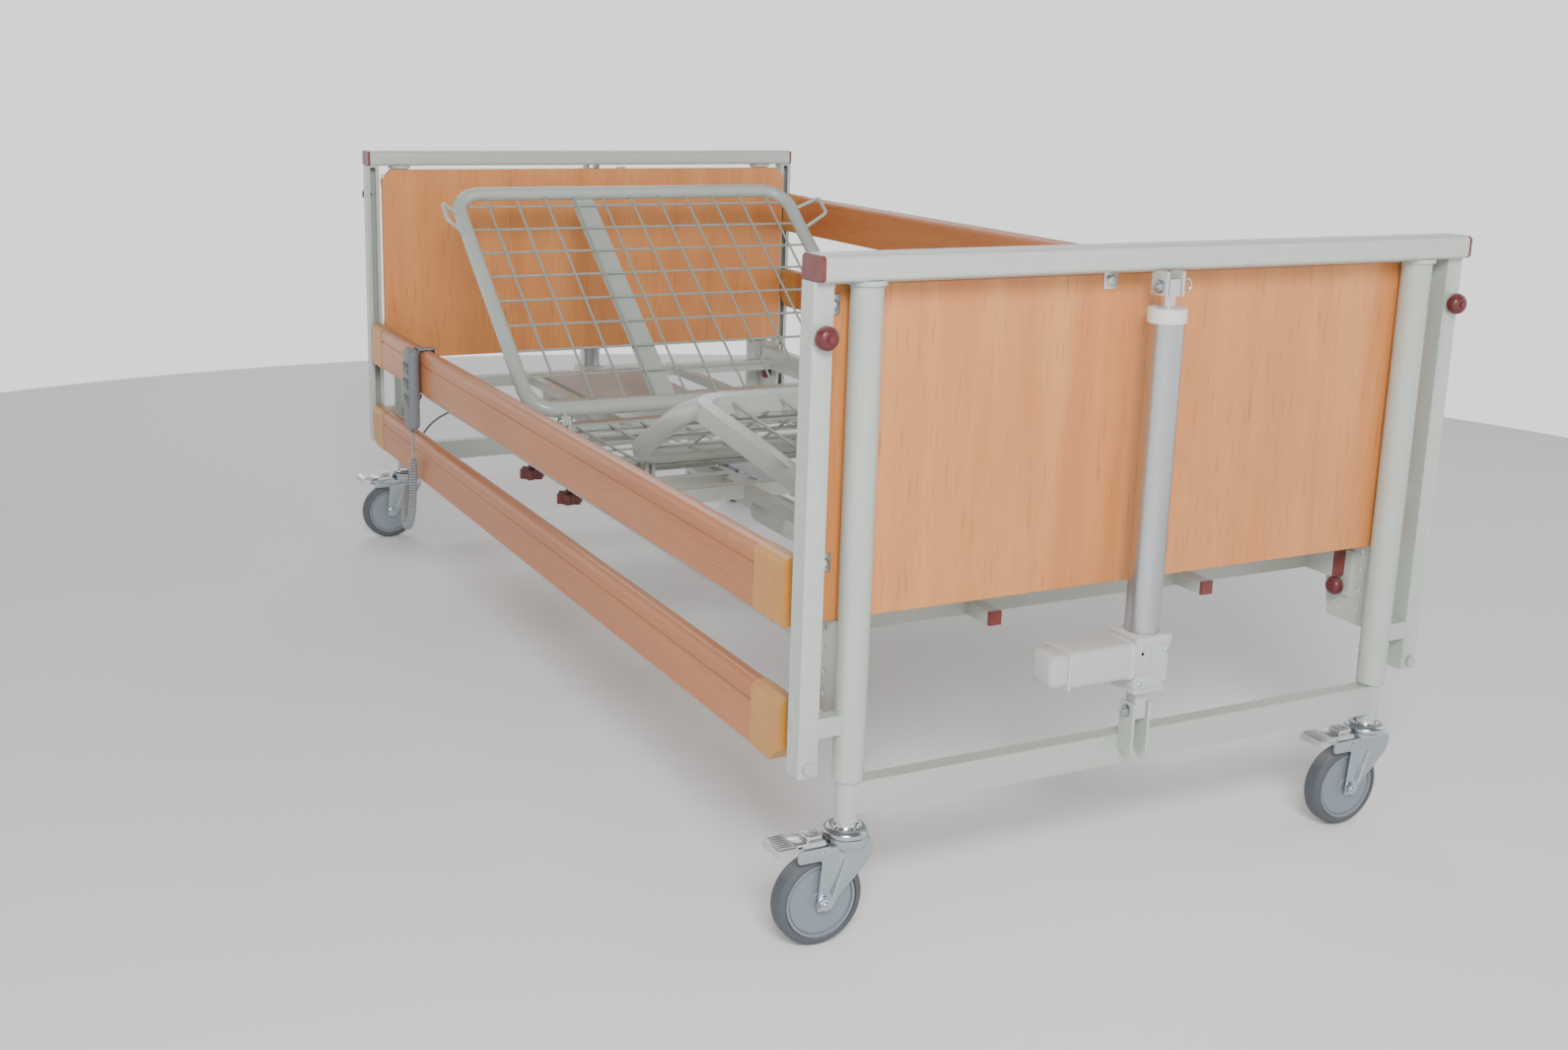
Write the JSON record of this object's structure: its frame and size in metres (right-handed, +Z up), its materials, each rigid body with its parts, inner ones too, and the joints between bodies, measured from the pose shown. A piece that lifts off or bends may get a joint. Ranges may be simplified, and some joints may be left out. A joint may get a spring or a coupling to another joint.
{
  "type": "adjustable hospital bed",
  "caption": "Adjustable care bed: lifting end frames on braked castors, tube deck with moving backrest, thigh and calf sections, and sliding wooden side rails.",
  "frame": {"origin": "on the floor, under the middle of the bed's box", "axes": "+Y from the foot end to the head end, +X to the side with the raised rails, +Z up"},
  "size_m": [1.106, 2.222, 0.898],
  "materials": {
    "powder_coat": "satin powder coat",
    "mesh_wire": "satin powder coat",
    "beech_panel": "satin laminate",
    "rail_wood": "satin lacquer",
    "ochre_plastic": "satin",
    "maroon_plastic": "satin",
    "zinc": "bright zinc plate",
    "bright_steel": "bright",
    "tyre": "matt grey rubber",
    "aluminium": "anodised",
    "grey_plastic": "fine texture",
    "nylon": "matt",
    "handset_plastic": "fine texture",
    "rocker_plastic": "satin",
    "cord_rubber": "matt"
  },
  "bodies": {
    "foot_base": {"foot_base_frame": "powder_coat", "foot_actuator_tube": "aluminium", "foot_actuator_housing": "grey_plastic"},
    "bed": {"foot_end_frame": "powder_coat", "head_end_frame": "powder_coat", "foot_panel": "beech_panel", "head_panel": "beech_panel", "foot_actuator_rod": "bright_steel", "head_actuator_rod": "bright_steel", "leg_bushes": "nylon", "panel_fittings": "bright_steel", "tube_end_caps": "maroon_plastic", "deck_frame_foot": "powder_coat", "deck_frame_head": "powder_coat", "hinge_pins": "bright_steel", "hand_screws": "maroon_plastic", "seat_mesh": "mesh_wire", "back_actuator_body": "grey_plastic", "leg_actuator_body": "grey_plastic", "control_box": "grey_plastic", "cord_curl": "cord_rubber", "cord_lead": "cord_rubber"},
    "head_base": {"head_base_frame": "powder_coat", "head_actuator_tube": "aluminium", "head_actuator_housing": "grey_plastic"},
    "backrest": {"backrest_frame": "powder_coat", "backrest_mesh": "mesh_wire"},
    "thigh": {"thigh_frame": "powder_coat", "thigh_mesh": "mesh_wire"},
    "calf": {"calf_frame": "powder_coat", "calf_mesh": "mesh_wire"},
    "back_rod": {"back_actuator_rod": "bright_steel"},
    "leg_rod": {"leg_actuator_rod": "bright_steel"},
    "near_rails": {"near_rail_lower": "rail_wood", "near_rail_upper": "rail_wood", "near_rail_caps": "ochre_plastic", "handset": "handset_plastic"},
    "far_rails": {"far_rail_lower": "rail_wood", "far_rail_upper": "rail_wood", "far_rail_caps": "ochre_plastic"},
    "swivel_foot_near": {"castor_fork_foot_near": "zinc"},
    "wheel_foot_near": {"castor_wheel_foot_near": "tyre"},
    "brake_foot_near": {"castor_brake_foot_near": "zinc"},
    "knob_foot_near": {"rail_knob_foot_near": "maroon_plastic"},
    "swivel_foot_far": {"castor_fork_foot_far": "zinc"},
    "wheel_foot_far": {"castor_wheel_foot_far": "tyre"},
    "brake_foot_far": {"castor_brake_foot_far": "zinc"},
    "knob_foot_far": {"rail_knob_foot_far": "maroon_plastic"},
    "swivel_head_near": {"castor_fork_head_near": "zinc"},
    "wheel_head_near": {"castor_wheel_head_near": "tyre"},
    "brake_head_near": {"castor_brake_head_near": "zinc"},
    "knob_head_near": {"rail_knob_head_near": "maroon_plastic"},
    "swivel_head_far": {"castor_fork_head_far": "zinc"},
    "wheel_head_far": {"castor_wheel_head_far": "tyre"},
    "brake_head_far": {"castor_brake_head_far": "zinc"},
    "knob_head_far": {"rail_knob_head_far": "maroon_plastic"},
    "rocker_1": {"handset_rocker_1": "rocker_plastic"},
    "rocker_2": {"handset_rocker_2": "rocker_plastic"},
    "rocker_3": {"handset_rocker_3": "rocker_plastic"}
  },
  "joints": [
    {"name": "bed_lift", "type": "slide", "parent": "foot_base", "child": "bed", "axis": [0, 0, 1], "range_m": [0, 0.4]},
    {"name": "head_lift", "type": "slide", "parent": "bed", "child": "head_base", "axis": [0, 0, -1], "range_m": [0, 0.4]},
    {"name": "swivel_turn_foot_near", "type": "hinge", "parent": "foot_base", "child": "swivel_foot_near", "pos_m": [-0.443, -1.05, 0.15], "axis": [0, 0, 1], "continuous": true},
    {"name": "wheel_spin_foot_near", "type": "hinge", "parent": "swivel_foot_near", "child": "wheel_foot_near", "pos_m": [-0.483, -1.05, 0.0625], "axis": [0, 1, 0], "continuous": true},
    {"name": "brake_press_foot_near", "type": "hinge", "parent": "swivel_foot_near", "child": "brake_foot_near", "pos_m": [-0.486, -1.05, 0.133], "axis": [0, -1, 0], "range_deg": [0, 12]},
    {"name": "knob_pull_foot_near", "type": "slide", "parent": "bed", "child": "knob_foot_near", "axis": [0, -1, 0], "range_m": [0, 0.008], "stiffness_N_per_m": 600},
    {"name": "swivel_turn_foot_far", "type": "hinge", "parent": "foot_base", "child": "swivel_foot_far", "pos_m": [0.471, -1.05, 0.15], "axis": [0, 0, 1], "continuous": true},
    {"name": "wheel_spin_foot_far", "type": "hinge", "parent": "swivel_foot_far", "child": "wheel_foot_far", "pos_m": [0.431, -1.05, 0.0625], "axis": [0, 1, 0], "continuous": true},
    {"name": "brake_press_foot_far", "type": "hinge", "parent": "swivel_foot_far", "child": "brake_foot_far", "pos_m": [0.428, -1.05, 0.133], "axis": [0, -1, 0], "range_deg": [0, 12]},
    {"name": "knob_pull_foot_far", "type": "slide", "parent": "bed", "child": "knob_foot_far", "axis": [0, -1, 0], "range_m": [0, 0.008], "stiffness_N_per_m": 600},
    {"name": "swivel_turn_head_near", "type": "hinge", "parent": "head_base", "child": "swivel_head_near", "pos_m": [-0.443, 1.05, 0.15], "axis": [0, 0, 1], "continuous": true},
    {"name": "wheel_spin_head_near", "type": "hinge", "parent": "swivel_head_near", "child": "wheel_head_near", "pos_m": [-0.483, 1.05, 0.0625], "axis": [0, 1, 0], "continuous": true},
    {"name": "brake_press_head_near", "type": "hinge", "parent": "swivel_head_near", "child": "brake_head_near", "pos_m": [-0.486, 1.05, 0.133], "axis": [0, -1, 0], "range_deg": [0, 12]},
    {"name": "knob_pull_head_near", "type": "slide", "parent": "bed", "child": "knob_head_near", "axis": [0, 1, 0], "range_m": [0, 0.008], "stiffness_N_per_m": 600},
    {"name": "swivel_turn_head_far", "type": "hinge", "parent": "head_base", "child": "swivel_head_far", "pos_m": [0.471, 1.05, 0.15], "axis": [0, 0, 1], "continuous": true},
    {"name": "wheel_spin_head_far", "type": "hinge", "parent": "swivel_head_far", "child": "wheel_head_far", "pos_m": [0.431, 1.05, 0.0625], "axis": [0, 1, 0], "continuous": true},
    {"name": "brake_press_head_far", "type": "hinge", "parent": "swivel_head_far", "child": "brake_head_far", "pos_m": [0.428, 1.05, 0.133], "axis": [0, -1, 0], "range_deg": [0, 12]},
    {"name": "knob_pull_head_far", "type": "slide", "parent": "bed", "child": "knob_head_far", "axis": [0, 1, 0], "range_m": [0, 0.008], "stiffness_N_per_m": 600},
    {"name": "backrest_tilt", "type": "hinge", "parent": "bed", "child": "backrest", "pos_m": [0.014, 0.295, 0.415], "axis": [1, 0, 0], "range_deg": [-37.6, 32.4]},
    {"name": "thigh_tilt", "type": "hinge", "parent": "bed", "child": "thigh", "pos_m": [0.014, -0.12, 0.43], "axis": [-1, 0, 0], "range_deg": [-29, 10]},
    {"name": "calf_fold", "type": "hinge", "parent": "thigh", "child": "calf", "pos_m": [0.014, -0.41737, 0.59484], "axis": [-1, 0, 0], "range_deg": [-12.5, 36.1]},
    {"name": "back_drive", "type": "slide", "parent": "bed", "child": "back_rod", "axis": [0, 1, 0], "range_m": [-0.08, 0.069]},
    {"name": "leg_drive", "type": "slide", "parent": "bed", "child": "leg_rod", "axis": [0, -1, 0], "range_m": [-0.065, 0.0224]},
    {"name": "near_rails_raise", "type": "slide", "parent": "bed", "child": "near_rails", "axis": [0, 0, 1], "range_m": [0, 0.28]},
    {"name": "far_rails_lower", "type": "slide", "parent": "bed", "child": "far_rails", "axis": [0, 0, 1], "range_m": [-0.28, 0]},
    {"name": "rocker_press_1", "type": "hinge", "parent": "near_rails", "child": "rocker_1", "pos_m": [-0.548, 0.634, 0.478], "axis": [0, 1, 0], "range_deg": [-3.5, 3.5], "stiffness_Nm_per_rad": 0.6},
    {"name": "rocker_press_2", "type": "hinge", "parent": "near_rails", "child": "rocker_2", "pos_m": [-0.548, 0.634, 0.444], "axis": [0, 1, 0], "range_deg": [-3.5, 3.5], "stiffness_Nm_per_rad": 0.6},
    {"name": "rocker_press_3", "type": "hinge", "parent": "near_rails", "child": "rocker_3", "pos_m": [-0.548, 0.634, 0.41], "axis": [0, 1, 0], "range_deg": [-3.5, 3.5], "stiffness_Nm_per_rad": 0.6}
  ],
  "couplings": [
    {"joint": "head_lift", "follows": "bed_lift", "ratio": 1},
    {"joint": "calf_fold", "follows": "thigh_tilt", "ratio": -1.2414},
    {"joint": "back_drive", "follows": "backrest_tilt", "m_per_rad": 0.1215},
    {"joint": "leg_drive", "follows": "thigh_tilt", "m_per_rad": 0.128}
  ]
}
